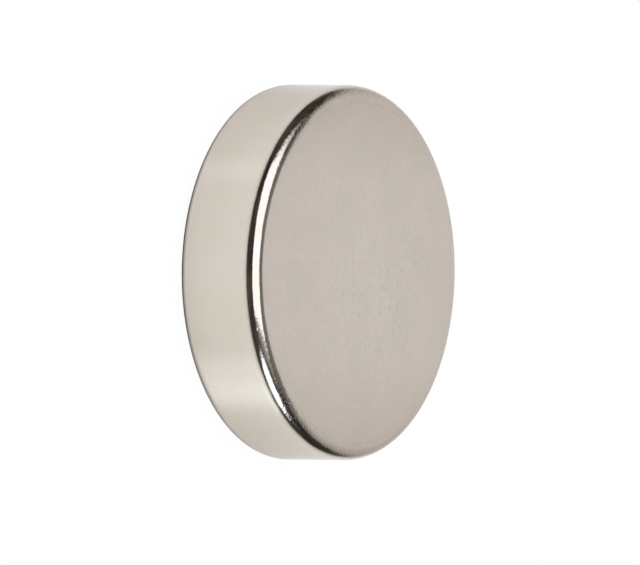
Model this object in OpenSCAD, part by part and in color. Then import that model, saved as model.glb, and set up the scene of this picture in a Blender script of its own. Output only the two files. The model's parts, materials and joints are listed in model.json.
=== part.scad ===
// Disc magnet: a round of pressed and sintered magnet alloy, magnetised through its thickness.
// The blank is ground flat on both pole faces, tumbled until its edges are round, and then plated.
// It lies on one pole face. The origin is the centre of that face, and +Z runs up the disc's axis.

/* [Disc] */
// Diameter across the rim
disc_d = 12; // [4:0.5:40]
// Thickness from one pole face to the other
disc_t = 3; // [2:0.5:15]

/* [Edges] */
// Radius that tumbling gives the edge round each pole face
edge_r = 0.45; // [0.1:0.05:0.9]

/* [Finish] */
// Colour of the plate
plate_colour = "#D4CCC0"; // [#D4CCC0:Nickel, #BFC1C2:Zinc, #E0C27A:Gold]

/* [Hidden] */

// Radius of the rim, where a pocket or a sleeve meets the disc
rim_r = disc_d / 2;
// Radius of the flat part of each pole face, inside its round edge
face_r = rim_r - edge_r;
// Facets that a full circle is drawn with
circle_facets = 180;

// Half of the disc's section, from the axis out to the rim. One rectangle reaches both pole faces
// and one reaches the rim, and a circle in each outer corner is the quarter round of its edge.
module section() {
    square([face_r, disc_t]);
    translate([0, edge_r])
        square([rim_r, disc_t - 2 * edge_r]);
    for (edge_z = [edge_r, disc_t - edge_r])
        translate([face_r, edge_z])
            circle(r = edge_r, $fn = circle_facets);
}

// The whole magnet, in one piece: its section turned about the axis.
module magnet_disc() {
    color(plate_colour)
        rotate_extrude($fn = circle_facets)
            section();
}

magnet_disc();
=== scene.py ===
"""A nickel-plated disc magnet, lying on one pole face on a sheet of white acrylic."""
import json
import math

import bpy
import numpy as np
from mathutils import Euler, Matrix, Vector


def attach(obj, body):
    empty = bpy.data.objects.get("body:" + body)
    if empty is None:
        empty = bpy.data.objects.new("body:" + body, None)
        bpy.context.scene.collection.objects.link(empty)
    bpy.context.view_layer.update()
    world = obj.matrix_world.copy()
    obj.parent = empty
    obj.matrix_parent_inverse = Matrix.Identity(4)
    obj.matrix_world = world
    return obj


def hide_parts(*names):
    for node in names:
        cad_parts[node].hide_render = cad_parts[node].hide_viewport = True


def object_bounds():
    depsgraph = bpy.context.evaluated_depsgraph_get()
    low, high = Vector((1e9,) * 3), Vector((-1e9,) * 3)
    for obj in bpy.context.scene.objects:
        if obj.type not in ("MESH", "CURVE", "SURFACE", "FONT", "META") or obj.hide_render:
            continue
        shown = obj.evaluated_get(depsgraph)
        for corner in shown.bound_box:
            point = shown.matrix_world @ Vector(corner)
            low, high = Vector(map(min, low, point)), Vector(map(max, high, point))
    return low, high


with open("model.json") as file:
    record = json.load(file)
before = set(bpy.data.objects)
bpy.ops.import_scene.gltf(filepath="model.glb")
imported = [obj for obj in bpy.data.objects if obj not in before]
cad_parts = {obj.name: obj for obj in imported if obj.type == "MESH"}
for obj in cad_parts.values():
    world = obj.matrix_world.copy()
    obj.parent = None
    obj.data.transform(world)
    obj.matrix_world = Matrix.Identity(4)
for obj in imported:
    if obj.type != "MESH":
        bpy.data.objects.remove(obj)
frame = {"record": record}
cad_low, cad_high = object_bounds()
MM = 0.001


# ---- The magnet -------------------------------------------------------------------------------
# One round of sintered magnet alloy. It is ground flat on both pole faces, tumbled in grit until
# its edges are round, and then plated with bright nickel all over.

RIM = next(m for m in frame["record"]["mounts"] if m["name"] == "rim")
RIM_R = RIM["dims"]["r_mm"] * MM
DISC_T = cad_high.z - cad_low.z
EDGE_R = (DISC_T - RIM["dims"]["length_mm"] * MM) / 2
# Tumbling cuts an edge that fades into the pole faces, so the round reaches a little further in
# than down, and its curve is a superellipse of a power just over two.
EDGE_IN = 1.14 * EDGE_R
EDGE_DOWN = 1.02 * EDGE_R
EDGE_POWER = 2.23
# It also takes a few microns off the pole faces towards the edge
FACE_FALL = 0.008 * MM
FACE_FALL_POWER = 4

# How finely the shape is drawn: points along each stretch of the section, and round the disc
EDGE_POINTS = 49
FACE_POINTS = 36
WALL_POINTS = 9
ROUND_POINTS = 512
# Below 1, this draws the rings of a face closer together towards its edge
FACE_CROWDING = 0.8


def edge_profile():
    """The corner of the section, as distances in from the rim and down from the pole face.

    A superellipse: the distances in and down, each as a share of its reach, taken from one,
    raised to the power and added, make one. It runs from the wall round to the face.
    """
    turn = np.linspace(0.0, np.pi / 2, EDGE_POINTS)
    across = np.cos(turn) ** (2 / EDGE_POWER)
    up = np.sin(turn) ** (2 / EDGE_POWER)
    return EDGE_IN * (1 - across), EDGE_DOWN * (1 - up)


def disc_section():
    """Radius and height along half of the section, from the lower pole to the upper one.

    The upper half is the wall, the round edge and the face. The face falls away as the fourth
    power of the radius. The lower half is the upper one mirrored at mid-height.
    """
    inward, down = edge_profile()
    face = (RIM_R - EDGE_IN) * (1 - np.linspace(0.0, 1.0, FACE_POINTS)[1:]) ** FACE_CROWDING
    radius = np.concatenate([RIM_R - inward, face])
    height = np.concatenate([DISC_T - down, np.full(len(face), DISC_T)])
    height = height - FACE_FALL * (radius / RIM_R) ** FACE_FALL_POWER
    wall = np.linspace(DISC_T / 2, height[0], WALL_POINTS)[:-1]
    radius = np.concatenate([np.full(len(wall), RIM_R), radius])
    height = np.concatenate([wall, height])
    lower = DISC_T - height[:0:-1]
    return np.concatenate([radius[:0:-1], radius]), np.concatenate([lower, height])


def turned(name, radius, height, around):
    """A closed surface of revolution about Z.

    Point (i, j) stands at radius i and height i, turned by j parts of a full circle. The first
    and last points of the section lie on the axis, and each is one vertex in a fan of triangles.
    """
    angle = np.arange(around) * 2 * np.pi / around
    ring_r = radius[1:-1, None]
    ring_z = np.broadcast_to(height[1:-1, None], (len(ring_r), around))
    rings = np.stack([ring_r * np.cos(angle), ring_r * np.sin(angle), ring_z], -1)
    poles = [[0, 0, height[0]], [0, 0, height[-1]]]
    points = np.concatenate([rings.reshape(-1, 3), poles])

    index = np.arange(len(ring_r) * around).reshape(-1, around)
    after = np.roll(index, -1, axis=1)
    quads = np.stack([index[:-1], after[:-1], after[1:], index[1:]], -1).reshape(-1, 4)
    low_pole, high_pole = len(points) - 2, len(points) - 1
    low_fan = np.stack([after[0], index[0], np.full(around, low_pole)], -1)
    high_fan = np.stack([index[-1], after[-1], np.full(around, high_pole)], -1)

    mesh = bpy.data.meshes.new(name)
    mesh.from_pydata(points, [], quads.tolist() + low_fan.tolist() + high_fan.tolist())
    mesh.shade_smooth()
    piece = bpy.data.objects.new(name, mesh)
    bpy.context.scene.collection.objects.link(piece)
    return piece


def linear(srgb_hex):
    """An sRGB hex colour as linear red, green, blue and alpha."""
    parts = [int(srgb_hex[i:i + 2], 16) / 255 for i in (1, 3, 5)]
    return [c / 12.92 if c <= 0.04045 else ((c + 0.055) / 1.055) ** 2.4 for c in parts] + [1]


def add_node(tree, kind, settings=None, **links):
    """Adds a node, sets its properties, and sets or links its inputs by name.

    An input that has no name of its own is given by its number, as _0 for the first.
    """
    node = tree.nodes.new(kind)
    for name, value in (settings or {}).items():
        setattr(node, name, value)
    for name, value in links.items():
        socket = node.inputs[int(name[1:])] if name[0] == "_" else node.inputs[name.replace("_", " ")]
        if isinstance(value, bpy.types.NodeSocket):
            tree.links.new(value, socket)
        else:
            socket.default_value = value
    return node


# Settings that many of the nodes share
SMOOTH = {"interpolation_type": "SMOOTHSTEP"}
TIMES = {"operation": "MULTIPLY"}
LARGER = {"operation": "MAXIMUM"}
SIZE_OF = {"operation": "ABSOLUTE"}
COLOURS = {"data_type": "RGBA"}

# The plate is clouded, warm in one place and cool in the next, and darker by the rim of a face.
# The clouds are a noise, which is all warm at the first of the two levels and cool at the second.
NICKEL_WARM = "#D7CEC3"
NICKEL_COOL = "#D4CCBE"
NICKEL_AT_A_SLANT = "#EEECEA"
CLOUD = 1.1 * MM
CLOUD_LEVELS = (0.36, 0.64)
RIM_SHADE = "#EBE9E6"

# The faces are satin: they blur what they mirror, and scatter a little of the light every way
FACE_ROUGHNESS = 0.50
FACE_METAL = 0.76
EDGE_ROUGHNESS = 0.09

# The plate ripples faintly all over, but hardly at all round the middle of the wall
RIPPLE = 0.7 * MM
RIPPLE_HEIGHT = 0.010 * MM
RIPPLE_ON_WALL = 0.15

# The grains of the alloy are about a hundredth of a millimetre, which is too fine to show, so
# they are drawn several times coarser. A share of their height comes through on the faces.
GRAIN = 0.075 * MM
GRAIN_HEIGHT = 0.011 * MM
GRAIN_ON_FACE = 0.15

# Pits stand in some of the cells of a pattern, and in more of them around one spot of the face.
# The finest of them are too small to show, so they are drawn as coarser specks of painted shade
# and painted highlight, and the pits get painted shade inside them. Where a value is
# a pair, it is for near that spot and for far from it.
PIT_SPACING = 0.26 * MM
PIT_RADIUS = 0.045 * MM
PIT_DEPTH = 0.010 * MM
PIT_DEPTH_ON_FACE = 0.3
PIT_SPREAD = 0.4
PIT_PATCH = (0.7 * MM, 1.2 * MM, DISC_T)
PIT_PATCH_INNER_R = 1.0 * MM
PIT_PATCH_OUTER_R = 3.6 * MM
PIT_CHANCE = (0.75, 0.15)
SPECK = 0.20 * MM
SPECK_PATCH_OUTER_R = 3.8 * MM
SPECK_STRENGTH = (0.75, 0.3)
SPECK_CONTRAST = 0.8
# The levels of the noise where the specks set in and where they are full: the painted-shade specks,
# then the painted-highlight specks
SPECK_LEVELS = ((0.42, 0.29), (0.58, 0.71))
# The painted shade inside the pits and on the dark specks, and the painted highlight on the light
# specks
PAINTED_PIT_AND_SPECK_SHADE = "#C3BBB2"
PAINTED_SPECK_HIGHLIGHT = "#DFD6CD"

# What belongs to the faces and edges shows with this share of its strength on the wall, and what
# belongs to the left and right of the magnet with this share in between
SHARE_ON_WALL = 0.1
SHARE_IN_BETWEEN = 0.35


def regions(tree, place):
    """Masks for the parts of the disc, by name.

    Each is a smooth step along one distance: out from the axis, left or right from the middle,
    or up and down from mid-height.
    """
    flat = add_node(tree, "ShaderNodeVectorMath", TIMES, _0=place, _1=(1, 1, 0))
    radius = add_node(tree, "ShaderNodeVectorMath", {"operation": "LENGTH"}, _0=flat.outputs[0])
    outwards = radius.outputs["Value"]
    axes = add_node(tree, "ShaderNodeSeparateXYZ", Vector=place)
    sideways = add_node(tree, "ShaderNodeMath", SIZE_OF, _0=axes.outputs["X"]).outputs[0]
    above = add_node(tree, "ShaderNodeMath", {"operation": "SUBTRACT"}, _0=axes.outputs["Z"],
                     _1=DISC_T / 2)
    off_middle = add_node(tree, "ShaderNodeMath", SIZE_OF, _0=above.outputs[0]).outputs[0]
    # Name: the distance, where the step starts and ends, and the mask before and after it
    steps = {
        "off_wall": (outwards, RIM_R - 0.3 * EDGE_IN, RIM_R, 1.0, SHARE_ON_WALL),
        "towards_rim": (outwards, 0.1 * RIM_R, RIM_R, 0.0, 1.0),
        "on_edge": (outwards, RIM_R - 0.9 * EDGE_IN, RIM_R - 0.4 * EDGE_IN, 0.0, 1.0),
        "past_face": (outwards, RIM_R - 1.2 * EDGE_IN, RIM_R - 0.72 * EDGE_IN, 0.0, 1.0),
        "edge_sides": (sideways, 0.3 * RIM_R, 0.85 * RIM_R, SHARE_IN_BETWEEN, 1.0),
        "face_sides": (sideways, 0.4 * RIM_R, 0.95 * RIM_R, SHARE_IN_BETWEEN, 1.0),
        "off_mid_height": (off_middle, 0.12 * DISC_T, 0.38 * DISC_T, RIPPLE_ON_WALL, 1.0),
    }
    return {name: add_node(tree, "ShaderNodeMapRange", SMOOTH, Value=distance, From_Min=start,
                           From_Max=end, To_Min=before, To_Max=after).outputs[0]
            for name, (distance, start, end, before, after) in steps.items()}


def clouded_colour(tree, place, part):
    """The colour of sound plate: a mix of warm and cool, darker towards the rim of the faces, most at
    the left and right.
    """
    clouds = add_node(tree, "ShaderNodeTexNoise", Vector=place, Scale=1 / CLOUD, Detail=4.0)
    spread = add_node(tree, "ShaderNodeMapRange", Value=clouds.outputs[0],
                      From_Min=CLOUD_LEVELS[0], From_Max=CLOUD_LEVELS[1])
    tint = add_node(tree, "ShaderNodeMix", COLOURS, Factor=spread.outputs[0],
                    _6=linear(NICKEL_WARM), _7=linear(NICKEL_COOL))
    rim_darkening = add_node(tree, "ShaderNodeMath", TIMES, _0=part["towards_rim"], _1=part["face_sides"])
    rim_darkening_off_wall = add_node(tree, "ShaderNodeMath", TIMES, _0=rim_darkening.outputs[0], _1=part["off_wall"])
    shaded = add_node(tree, "ShaderNodeMix", {"data_type": "RGBA", "blend_type": "MULTIPLY"},
                      Factor=rim_darkening_off_wall.outputs[0], _6=tint.outputs[2], _7=linear(RIM_SHADE))
    return shaded.outputs[2]


def tumbled_surface(tree, place, part):
    """The normal over faint ripples, and over grain that shows most on the edge at the sides."""
    ripple = add_node(tree, "ShaderNodeTexNoise", Vector=place, Scale=1 / RIPPLE, Detail=1.0)
    wavy = add_node(tree, "ShaderNodeBump", Strength=part["off_mid_height"],
                    Distance=RIPPLE_HEIGHT, Height=ripple.outputs[0])
    grain = add_node(tree, "ShaderNodeTexNoise", Vector=place, Scale=1 / GRAIN, Detail=3.0)
    worn = add_node(tree, "ShaderNodeMath", TIMES, _0=part["on_edge"], _1=part["edge_sides"])
    at_least = add_node(tree, "ShaderNodeMath", LARGER, _0=worn.outputs[0], _1=GRAIN_ON_FACE)
    amount = add_node(tree, "ShaderNodeMath", TIMES, _0=at_least.outputs[0], _1=part["off_wall"])
    grainy = add_node(tree, "ShaderNodeBump", Strength=amount.outputs[0], Distance=GRAIN_HEIGHT,
                      Height=grain.outputs[0], Normal=wavy.outputs[0])
    return grainy.outputs[0]


def pits(tree, place, from_patch):
    """How far into a pit a point is, from 0 outside to 1 at the bottom.

    A pit is a round hollow about the centre of a Voronoi cell. One random number of the cell
    tells if it has a pit, and another how wide the pit is.
    """
    cells = add_node(tree, "ShaderNodeTexVoronoi", Vector=place, Scale=1 / PIT_SPACING)
    random = add_node(tree, "ShaderNodeSeparateColor", Color=cells.outputs["Color"])
    chance = add_node(tree, "ShaderNodeMapRange", SMOOTH, Value=from_patch,
                      From_Min=PIT_PATCH_INNER_R, From_Max=PIT_PATCH_OUTER_R,
                      To_Min=PIT_CHANCE[0], To_Max=PIT_CHANCE[1])
    taken = add_node(tree, "ShaderNodeMath", {"operation": "LESS_THAN"}, _0=random.outputs[0],
                     _1=chance.outputs[0])
    # The pattern measures distance in cells
    reach = PIT_RADIUS / PIT_SPACING
    width = add_node(tree, "ShaderNodeMapRange", Value=random.outputs[1],
                     To_Min=(1 - PIT_SPREAD) * reach, To_Max=(1 + PIT_SPREAD) * reach)
    hollow = add_node(tree, "ShaderNodeMapRange", SMOOTH, Value=cells.outputs["Distance"],
                      From_Min=0.0, From_Max=width.outputs[0], To_Min=1.0, To_Max=0.0)
    return add_node(tree, "ShaderNodeMath", TIMES, _0=hollow.outputs[0],
                    _1=taken.outputs[0]).outputs[0]


def specks(tree, place, part, from_patch):
    """The specks of painted shade and of painted highlight, as two masks: the lows and highs of one
    fine noise.
    """
    fine = add_node(tree, "ShaderNodeTexNoise", Vector=place, Scale=1 / SPECK, Detail=2.0)
    scatter = add_node(tree, "ShaderNodeMapRange", SMOOTH, Value=from_patch,
                       From_Min=PIT_PATCH_INNER_R, From_Max=SPECK_PATCH_OUTER_R,
                       To_Min=SPECK_STRENGTH[0], To_Max=SPECK_STRENGTH[1])
    on_face = add_node(tree, "ShaderNodeMath", TIMES, _0=scatter.outputs[0], _1=part["off_wall"])
    masks = []
    for faintest, full in SPECK_LEVELS:
        speck = add_node(tree, "ShaderNodeMapRange", SMOOTH, Value=fine.outputs[0],
                         From_Min=faintest, From_Max=full, To_Min=0.0, To_Max=SPECK_CONTRAST)
        mask = add_node(tree, "ShaderNodeMath", TIMES, _0=speck.outputs[0], _1=on_face.outputs[0])
        masks.append(mask.outputs[0])
    return masks


def bright_nickel():
    """Bright electroplated nickel over ground and tumbled alloy.

    To the eye it is a warm grey mirror, a little clouded. The plate takes on the grain of the
    alloy under it, which breaks up the ends of the highlights. Where the powder had gaps it
    leaves pits, with painted shade inside them, and specks of painted shade and painted highlight
    are scattered over the faces. The colour is also darker towards the rim of the faces, most at the
    left and right.
    """
    material = bpy.data.materials.new("bright_nickel_plate")
    material.use_nodes = True
    tree = material.node_tree
    shader = tree.nodes["Principled BSDF"]
    shader.inputs["Specular Tint"].default_value = linear(NICKEL_AT_A_SLANT)

    place = add_node(tree, "ShaderNodeTexCoord").outputs["Object"]
    part = regions(tree, place)
    from_patch = add_node(tree, "ShaderNodeVectorMath", {"operation": "DISTANCE"}, _0=place,
                          _1=PIT_PATCH).outputs["Value"]
    pit = pits(tree, place, from_patch)
    painted_shade_speck, painted_highlight_speck = specks(tree, place, part, from_patch)

    # Painted shade darkens the inside of a pit and the dark specks, and painted highlight lightens
    # the light specks, as on the shaded and lit sides of tiny bumps
    darker = add_node(tree, "ShaderNodeMath", LARGER, _0=painted_shade_speck, _1=pit)
    hollow = add_node(tree, "ShaderNodeMix", COLOURS, Factor=darker.outputs[0],
                      _6=clouded_colour(tree, place, part), _7=linear(PAINTED_PIT_AND_SPECK_SHADE))
    speckled = add_node(tree, "ShaderNodeMix", COLOURS, Factor=painted_highlight_speck,
                        _6=hollow.outputs[2], _7=linear(PAINTED_SPECK_HIGHLIGHT))
    tree.links.new(speckled.outputs[2], shader.inputs["Base Color"])

    # Pits are shallower on the faces than on the edge
    deeper = add_node(tree, "ShaderNodeMapRange", Value=part["on_edge"], To_Min=PIT_DEPTH_ON_FACE,
                      To_Max=1.0)
    deep = add_node(tree, "ShaderNodeMath", TIMES, _0=deeper.outputs[0], _1=part["off_wall"])
    pitted = add_node(tree, "ShaderNodeBump", {"invert": True}, Strength=deep.outputs[0],
                      Distance=PIT_DEPTH, Height=pit, Normal=tumbled_surface(tree, place, part))
    tree.links.new(pitted.outputs[0], shader.inputs["Normal"])

    rough = add_node(tree, "ShaderNodeMapRange", Value=part["past_face"], To_Min=FACE_ROUGHNESS,
                     To_Max=EDGE_ROUGHNESS)
    tree.links.new(rough.outputs[0], shader.inputs["Roughness"])
    metal = add_node(tree, "ShaderNodeMapRange", Value=part["past_face"], To_Min=FACE_METAL,
                     To_Max=1.0)
    tree.links.new(metal.outputs[0], shader.inputs["Metallic"])
    return material


disc = turned("magnet_disc_plated", *disc_section(), around=ROUND_POINTS)
disc.data.materials.append(bright_nickel())
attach(disc, "root")
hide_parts("magnet_disc")


# ---- The sheet it lies on ---------------------------------------------------------------------
# A polished sheet of white acrylic, lit until it is pure white. Near the edge the magnet shows
# it at a low slant, and there it mirrors the lamps and the dark room more and more.

SHEET_HALF = 1.5
OPAL = "#B6B8B6"
# A painted glow of the sheet's own, which stands in for fill light. It fades out, as a painted
# shadow along the magnet's foot, from this far outside the magnet's rim to this far inside it.
PAINTED_GLOW_COLOUR = "#FDFDFF"
PAINTED_GLOW_STRENGTH = 0.44
PAINTED_SHADOW_OUTSIDE = 0.3 * MM
PAINTED_SHADOW_INSIDE = 0.2 * MM
SHEET_ROUGHNESS = 0.18
ACRYLIC_IOR = 1.49
# How much of what the camera sees of the sheet is plain white
PLAIN_SHARE = 0.98


def white_acrylic():
    """Polished opal acrylic: white all through, under a clear gloss that mirrors most at a slant.

    It glows a little of itself: a painted glow that stands in for fill light, faded out under the
    magnet's rim as a painted shadow. To the camera it shows as plain white with the faintest of
    shadows. Everything else sees it as it is lit.
    """
    material = bpy.data.materials.new("white_acrylic_sheet")
    material.use_nodes = True
    tree = material.node_tree
    tree.nodes.clear()
    place = add_node(tree, "ShaderNodeTexCoord").outputs["Object"]
    away = add_node(tree, "ShaderNodeVectorMath", {"operation": "LENGTH"}, _0=place)
    # The painted glow, faded out as a painted shadow under the magnet's rim
    glow = add_node(tree, "ShaderNodeMapRange", SMOOTH, Value=away.outputs["Value"],
                    From_Min=RIM_R - PAINTED_SHADOW_INSIDE, From_Max=RIM_R + PAINTED_SHADOW_OUTSIDE,
                    To_Min=0.0, To_Max=PAINTED_GLOW_STRENGTH)
    painted_glow_light = add_node(tree, "ShaderNodeEmission", Color=linear(PAINTED_GLOW_COLOUR),
                     Strength=glow.outputs[0])
    opal = add_node(tree, "ShaderNodeBsdfDiffuse", Color=linear(OPAL))
    body = add_node(tree, "ShaderNodeAddShader", _0=opal.outputs[0], _1=painted_glow_light.outputs[0])
    gloss = add_node(tree, "ShaderNodeBsdfGlossy", Color=(1, 1, 1, 1), Roughness=SHEET_ROUGHNESS)
    slant = add_node(tree, "ShaderNodeFresnel", IOR=ACRYLIC_IOR)
    lit = add_node(tree, "ShaderNodeMixShader", Fac=slant.outputs[0], _1=body.outputs[0],
                   _2=gloss.outputs[0])
    plain = add_node(tree, "ShaderNodeEmission", Color=(1, 1, 1, 1), Strength=1.0)
    rays = add_node(tree, "ShaderNodeLightPath")
    share = add_node(tree, "ShaderNodeMath", TIMES, _0=rays.outputs["Is Camera Ray"],
                     _1=PLAIN_SHARE)
    both = add_node(tree, "ShaderNodeMixShader", Fac=share.outputs[0], _1=lit.outputs[0],
                    _2=plain.outputs[0])
    add_node(tree, "ShaderNodeOutputMaterial", Surface=both.outputs[0])
    return material


sheet_mesh = bpy.data.meshes.new("acrylic_sheet")
sheet_mesh.from_pydata([(x * SHEET_HALF, y * SHEET_HALF, cad_low.z)
                        for x, y in ((-1, -1), (1, -1), (1, 1), (-1, 1))], [], [(0, 1, 2, 3)])
sheet_mesh.materials.append(white_acrylic())
sheet = bpy.data.objects.new("acrylic_sheet", sheet_mesh)
bpy.context.scene.collection.objects.link(sheet)


# ---- The lamps and the room -------------------------------------------------------------------
# A large softbox leans over the magnet and a small round one stands to its side. A white card
# stands behind, and a grey wall behind that. The rest of the room is dark.
# Places are in metres, angles in degrees, and a glow of 1 is as bright as plain white.

# No board is darker than the room behind it
ROOM_GLOW = 0.05


def direction(azimuth, elevation):
    """The unit vector towards a point in the room. Azimuth 0 is the camera's side, 90 is +X."""
    a, e = math.radians(azimuth), math.radians(elevation)
    return Vector((math.sin(a) * math.cos(e), -math.cos(a) * math.cos(e), math.sin(e)))


def ramp(value, start, end):
    """Rises smoothly from 0 at start to 1 at end."""
    share = np.clip((value - start) / (end - start), 0, 1)
    return share * share * (3 - 2 * share)


def bell(value, middle, width):
    """A bell curve, 1 at the middle."""
    return np.exp(-((value - middle) / width) ** 2)


def lit_board(name, points, glow, colour="#FFFFFF"):
    """A board through a grid of points, which gives off light of its own strength at each point."""
    glow = np.maximum(glow, ROOM_GLOW)
    rows, columns = glow.shape
    index = np.arange(rows * columns).reshape(rows, columns)
    quads = np.stack([index[:-1, :-1], index[:-1, 1:], index[1:, 1:], index[1:, :-1]], -1)
    mesh = bpy.data.meshes.new(name)
    mesh.from_pydata(points.reshape(-1, 3), [], quads.reshape(-1, 4).tolist())
    mesh.attributes.new("glow", "FLOAT", "POINT").data.foreach_set("value", glow.ravel())
    material = bpy.data.materials.new(name)
    material.use_nodes = True
    tree = material.node_tree
    tree.nodes.clear()
    strength = add_node(tree, "ShaderNodeAttribute", {"attribute_name": "glow"})
    shine = add_node(tree, "ShaderNodeEmission", Color=linear(colour),
                     Strength=strength.outputs["Fac"])
    add_node(tree, "ShaderNodeOutputMaterial", Surface=shine.outputs[0])
    mesh.materials.append(material)
    board = bpy.data.objects.new(name, mesh)
    board.visible_camera = False
    bpy.context.scene.collection.objects.link(board)


# The large softbox, nearly overhead, with its far side raised. The lamp behind its cloth would
# give more than the cloth lets through, so the cloth is even and only fades close to its edges.
SOFTBOX_WIDE = 1.075
SOFTBOX_DEEP = 0.945
SOFTBOX_AT = (-0.246, -0.010, 0.690)
SOFTBOX_TILT = (27.7, -4.0, -3.9)
SOFTBOX_LAMP = 3.2
SOFTBOX_GLOW = 1.90


def leaning_softbox():
    """A flat rectangle, u parts of its width and v parts of its depth from the middle."""
    u, v = np.meshgrid(np.linspace(-0.5, 0.5, 49), np.linspace(-0.5, 0.5, 49))
    flat = np.stack([u * SOFTBOX_WIDE, v * SOFTBOX_DEEP, 0 * u], -1)
    tilt = np.array(Euler(np.radians(SOFTBOX_TILT)).to_matrix())
    lamp = SOFTBOX_LAMP * ramp(abs(u), 0.5, 0.37) * ramp(abs(v), 0.5, 0.38)
    cloth = np.minimum(lamp, SOFTBOX_GLOW)
    lit_board("leaning_softbox", flat @ tilt.T + np.array(SOFTBOX_AT), cloth, "#F4F3FD")


# The small round softbox at the side, a metre away and facing the magnet. It is brightest near
# the middle, and its lower half is dimmer.
SIDE_BOX_AT = direction(74.5, 28)
SIDE_BOX_R = 0.44
SIDE_BOX_TALL = 1.15
SIDE_BOX_GLOW = 3.0
SIDE_BOX_CORE = 3.5
SIDE_BOX_CORE_R = 0.12
SIDE_BOX_CORE_ASIDE = 0.07
SIDE_BOX_CORE_DOWN = -0.03
SIDE_BOX_LOW_SHARE = 0.35


def side_softbox():
    """A flat ellipse: a point lies so far from the middle, in its direction round it."""
    sideways = Vector((-SIDE_BOX_AT.y, SIDE_BOX_AT.x, 0)).normalized()
    upwards = SIDE_BOX_AT.cross(sideways)
    reach, way = np.meshgrid(np.linspace(0, SIDE_BOX_R, 16), np.linspace(0, 2 * np.pi, 49))
    aside, down = reach * np.cos(way), SIDE_BOX_TALL * reach * np.sin(way)
    points = (np.array(SIDE_BOX_AT) + aside[..., None] * np.array(sideways)
              - down[..., None] * np.array(upwards))
    core = (bell(aside, SIDE_BOX_CORE_ASIDE, SIDE_BOX_CORE_R)
            * bell(down, SIDE_BOX_CORE_DOWN, SIDE_BOX_CORE_R))
    low_share = SIDE_BOX_LOW_SHARE + (1 - SIDE_BOX_LOW_SHARE) * ramp(down, 0.3, 0.06)
    off_centre = np.degrees(np.arctan(reach))
    glow = (SIDE_BOX_GLOW + SIDE_BOX_CORE * core) * ramp(off_centre, 23, 12) * low_share
    lit_board("side_softbox", points, glow, "#E8F3FF")


# A white card bent round behind the magnet. It is brightest near the middle, and its light
# fades out over some degrees at the sides, and over a few at the top. The top dips a little in
# the middle and is higher to the right.
CARD_FAR = 1.2
CARD_LEFT = -46
CARD_RIGHT = 54
CARD_LIT_RIGHT = 44
CARD_SIDE_FADE = 7
CARD_TOP = 44.5
CARD_TOP_FADE = 4
CARD_TOP_DIP = 2.5
CARD_TOP_SLOPE = 0.05
CARD_GLOW = 0.897


def white_card():
    """Part of an upright cylinder: turn is to the right of straight back, rise is above the sheet.

    The fade at each side leans to the right, by a fifth or a quarter of the rise.
    """
    turn, height = np.meshgrid(np.linspace(CARD_LEFT, CARD_RIGHT, 81), np.linspace(0.01, 1, 31))
    top = CARD_TOP + CARD_TOP_DIP * ramp(abs(turn), 4, 16) + CARD_TOP_SLOPE * turn
    rise = height * top
    away, up = np.radians(turn), np.radians(rise)
    points = CARD_FAR * np.stack([np.sin(away), np.cos(away), np.tan(up)], -1)
    left = ramp(turn - 0.2 * (rise - 10), CARD_LEFT, CARD_LEFT + CARD_SIDE_FADE)
    right = ramp(turn - 0.25 * (rise - 17), CARD_LIT_RIGHT, CARD_LIT_RIGHT - CARD_SIDE_FADE)
    upper = ramp(rise, top, top - CARD_TOP_FADE)
    lit_board("white_card", points, CARD_GLOW * bell(turn, -6, 60) * left * right * upper, "#FBFBFF")


# A grey wall behind the card
WALL_Y = 1.4
WALL_LEFT = -0.85
WALL_RIGHT = 1.45
WALL_TALL = 3.2
WALL_GLOW = 0.22


def grey_wall():
    """A flat upright rectangle, which fades towards its left and right."""
    across, up = np.meshgrid(np.linspace(WALL_LEFT, WALL_RIGHT, 24), np.linspace(0.01, WALL_TALL, 2))
    points = np.stack([across, np.full(across.shape, WALL_Y), up], -1)
    left = ramp(across, WALL_LEFT, WALL_LEFT + 0.3)
    right = ramp(across, WALL_RIGHT, WALL_RIGHT - 0.55)
    lit_board("grey_wall", points, WALL_GLOW * left * right)


# A ceiling tile over the softbox, dimly lit by what spills from it
TILE_Z = 1.05
TILE_LEFT = -0.5
TILE_RIGHT = 1.45
TILE_NEAR = -0.8
TILE_FAR = 0.45
TILE_GLOW = 0.25
TILE_SPILL = 0.30


def ceiling_tile():
    """A flat level rectangle, with a brighter strip where the softbox's edge lets light past."""
    across, along = np.meshgrid(np.linspace(TILE_LEFT, TILE_RIGHT, 40),
                                np.linspace(TILE_NEAR, TILE_FAR, 26))
    points = np.stack([across, along, np.full(across.shape, TILE_Z)], -1)
    glow = TILE_GLOW * bell(across, -0.05, 0.87) + TILE_SPILL * bell(across, 0.42, 0.15)
    right = ramp(across, TILE_RIGHT, TILE_RIGHT - 0.25)
    ends = ramp(along, TILE_NEAR, TILE_NEAR + 0.1) * ramp(along, TILE_FAR, TILE_FAR - 0.1)
    lit_board("ceiling_tile", points, glow * right * ends)


leaning_softbox()
side_softbox()
white_card()
grey_wall()
ceiling_tile()


FILL_WHITE = "#FCF9F6"


def fill_lamp(name, place, width, height, radiance):
    """A lamp which faces the magnet and isn't mirrored in it.

    It lights the sheet, and the faces by the share of light that they scatter. The power of a
    flat lamp is its radiance times its area times pi.
    """
    light = bpy.data.lights.new(name, "AREA")
    light.shape = "RECTANGLE"
    light.size, light.size_y = width, height
    light.color = linear(FILL_WHITE)[:3]
    light.energy = math.pi * width * height * radiance
    lamp = bpy.data.objects.new(name, light)
    lamp.location = place
    lamp.rotation_mode = "QUATERNION"
    lamp.rotation_quaternion = (-place).to_track_quat("-Z", "Y")
    lamp.visible_camera = False
    lamp.visible_glossy = False
    bpy.context.scene.collection.objects.link(lamp)


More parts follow.
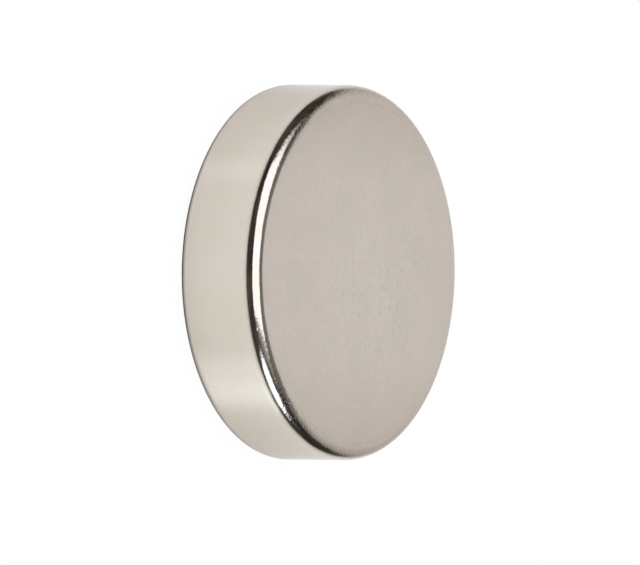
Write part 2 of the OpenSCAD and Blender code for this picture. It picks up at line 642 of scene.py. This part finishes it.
# What the rest of the studio adds: from overhead, and from both sides
fill_lamp("overhead_fill", Vector((0, 0, 0.45)), width=1.3, height=0.9, radiance=0.28)
fill_lamp("left_fill", 0.8 * direction(-115, 35), width=0.7, height=0.5, radiance=2.9)
fill_lamp("right_fill", 0.8 * direction(115, 35), width=0.7, height=0.5, radiance=2.5)


def dark_room():
    """The rest of the room: dark and uneven to the nickel, but plain white to the camera."""
    room = bpy.data.worlds.new("dark_room")
    room.use_nodes = True
    tree = room.node_tree
    tree.nodes.clear()
    clutter = add_node(tree, "ShaderNodeTexNoise", Scale=3.0)
    uneven = add_node(tree, "ShaderNodeMapRange", Value=clutter.outputs[0], From_Min=0.35,
                      From_Max=0.65, To_Min=0.4, To_Max=1.7)
    dark = add_node(tree, "ShaderNodeBackground", Color=linear("#433F3B"),
                    Strength=uneven.outputs[0])
    pale = add_node(tree, "ShaderNodeBackground", Color=(1, 1, 1, 1), Strength=1.0)
    rays = add_node(tree, "ShaderNodeLightPath")
    seen = add_node(tree, "ShaderNodeMixShader", Fac=rays.outputs["Is Camera Ray"],
                    _1=dark.outputs[0], _2=pale.outputs[0])
    add_node(tree, "ShaderNodeOutputWorld", Surface=seen.outputs[0])
    return room


bpy.context.scene.world = dark_room()
bpy.context.scene.view_settings.view_transform = "Standard"


# ---- The camera -------------------------------------------------------------------------------
# A long lens from the side, a third of the way up. It is turned a quarter turn about its own
# axis, so the magnet's upper face looks to the right of the picture.

CAMERA_UP = 33.3
CAMERA_ROLL = 90.65
CAMERA_FAR = 0.8
PICTURE_SPAN = 20.48 * MM
AIM_RIGHT = 0.034 * MM
AIM_UP = -0.325 * MM

back = direction(0, CAMERA_UP)
level = (-back).to_track_quat("-Z", "Y").to_matrix()
facing = level @ Matrix.Rotation(math.radians(CAMERA_ROLL), 3, "Z")
aim = Vector((0, 0, (cad_low.z + cad_high.z) / 2)) + facing @ Vector((AIM_RIGHT, AIM_UP, 0))

camera_data = bpy.data.cameras.new("camera")
camera_data.lens = camera_data.sensor_width * CAMERA_FAR / PICTURE_SPAN
camera_data.clip_end = 10.0
camera = bpy.data.objects.new("camera", camera_data)
camera.location = aim + back * CAMERA_FAR
camera.rotation_mode = "QUATERNION"
camera.rotation_quaternion = facing.to_quaternion()
bpy.context.scene.collection.objects.link(camera)
bpy.context.scene.camera = camera
